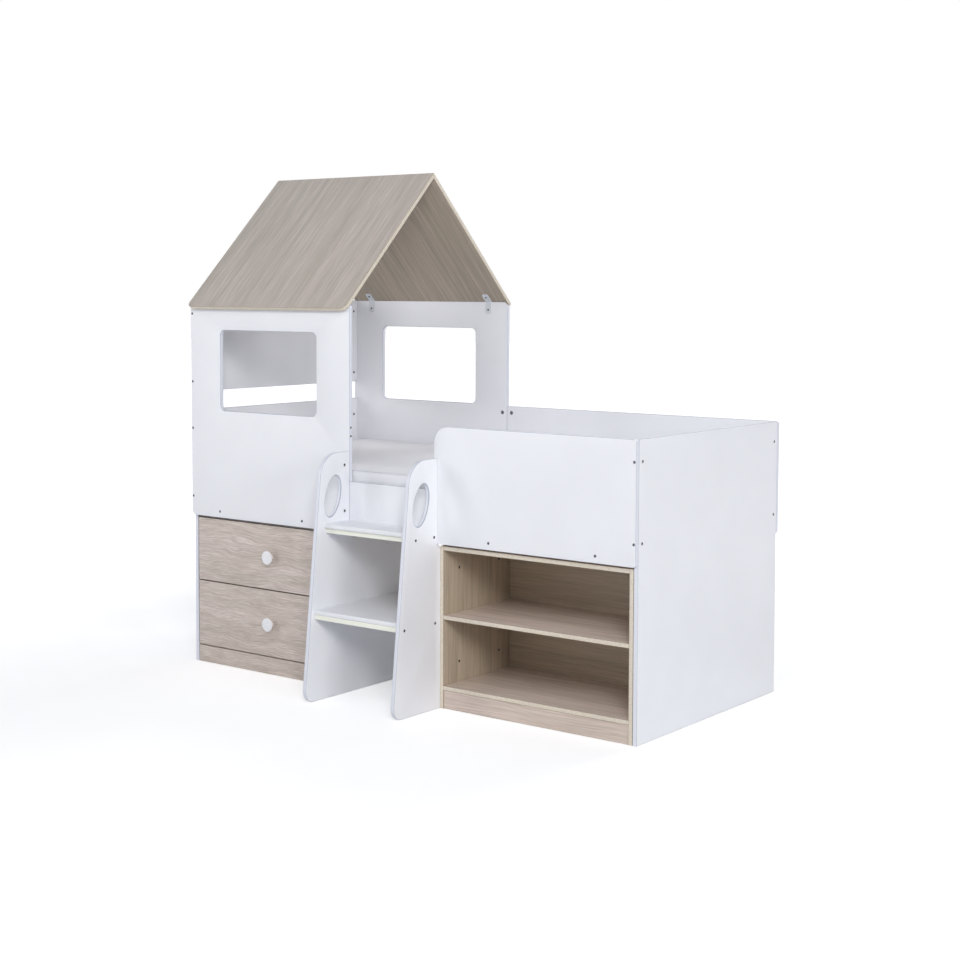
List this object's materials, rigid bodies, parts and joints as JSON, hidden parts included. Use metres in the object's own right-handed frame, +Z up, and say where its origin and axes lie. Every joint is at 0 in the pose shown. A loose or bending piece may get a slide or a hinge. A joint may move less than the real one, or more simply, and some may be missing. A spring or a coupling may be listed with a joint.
{
  "type": "mid sleeper cabin bed",
  "caption": "Mid sleeper cabin bed with a small roofed house at its head end, a step ladder, guard panels, and a drawer chest and an open bookcase under the deck.",
  "frame": {"origin": "on the floor under the middle of the whole bed's bounding box", "axes": "+X from the head end (the house) to the foot end, +Y from the ladder side to the wall side, +Z up"},
  "size_m": [1.98, 1.1908, 1.8462],
  "materials": {
    "white_laminate": "satin melamine-faced board with white edging",
    "ash_laminate": "satin wood-look melamine with a fine streaked grain and cream edging",
    "drawer_board": "white foil-faced drawer board",
    "pale_green_strip": "batten with a pale yellow-green front edge",
    "pine": "planed unfinished softwood",
    "beech": "fluted hardwood dowel",
    "tape": "woven tape",
    "mattress_cover": "white knitted mattress cover",
    "dark_bolt_steel": "dark plated steel",
    "zinc": "zinc-plated steel",
    "bracket_grey": "light grey steel strap",
    "runner_white": "white coated steel",
    "knob_white": "white moulded knob"
  },
  "bodies": {
    "bed": {"access_rail": "white_laminate", "barrel_nuts": "zinc", "bed_slats": "pine", "bookcase_back": "ash_laminate", "bookcase_bottom": "ash_laminate", "bookcase_left_side": "ash_laminate", "bookcase_plinth": "ash_laminate", "bookcase_right_side": "ash_laminate", "bookcase_shelf": "ash_laminate", "bookcase_top": "ash_laminate", "bracket_screws": "zinc", "cabinet_runners": "runner_white", "chest_back": "ash_laminate", "chest_bottom": "ash_laminate", "chest_left_side": "ash_laminate", "chest_plinth": "ash_laminate", "chest_right_side": "ash_laminate", "chest_top": "ash_laminate", "foot_end_panel": "white_laminate", "frame_bolts": "dark_bolt_steel", "front_bearer": "pine", "front_guard_panel": "white_laminate", "head_end_panel": "white_laminate", "head_end_upper_board": "white_laminate", "house_front_panel": "white_laminate", "house_rear_panel": "white_laminate", "joint_cams": "zinc", "joint_dowels": "beech", "ladder_cheek_left": "white_laminate", "ladder_cheek_right": "white_laminate", "lower_front_batten": "pale_green_strip", "lower_tread": "white_laminate", "mattress": "mattress_cover", "rear_bearer": "pine", "rear_guard_panel": "white_laminate", "roof_brackets": "bracket_grey", "roof_front_board": "ash_laminate", "roof_rear_board": "ash_laminate", "slat_tapes": "tape", "tee_nuts": "zinc", "tread_rear_battens": "white_laminate", "unit_screws": "dark_bolt_steel", "upper_front_batten": "pale_green_strip", "upper_tread": "white_laminate"},
    "upper_drawer": {"upper_drawer_front": "ash_laminate", "upper_drawer_left_side": "drawer_board", "upper_drawer_right_side": "drawer_board", "upper_drawer_back": "drawer_board", "upper_drawer_bottom": "drawer_board", "upper_drawer_knob": "knob_white", "upper_knob_screw": "zinc", "upper_drawer_runners": "runner_white"},
    "lower_drawer": {"lower_drawer_front": "ash_laminate", "lower_drawer_left_side": "drawer_board", "lower_drawer_right_side": "drawer_board", "lower_drawer_back": "drawer_board", "lower_drawer_bottom": "drawer_board", "lower_drawer_knob": "knob_white", "lower_knob_screw": "zinc", "lower_drawer_runners": "runner_white"}
  },
  "joints": [
    {"name": "upper_drawer_slide", "type": "slide", "parent": "bed", "child": "upper_drawer", "axis": [0, -1, 0], "range_m": [0, 0.26]},
    {"name": "lower_drawer_slide", "type": "slide", "parent": "bed", "child": "lower_drawer", "axis": [0, -1, 0], "range_m": [0, 0.26]}
  ]
}
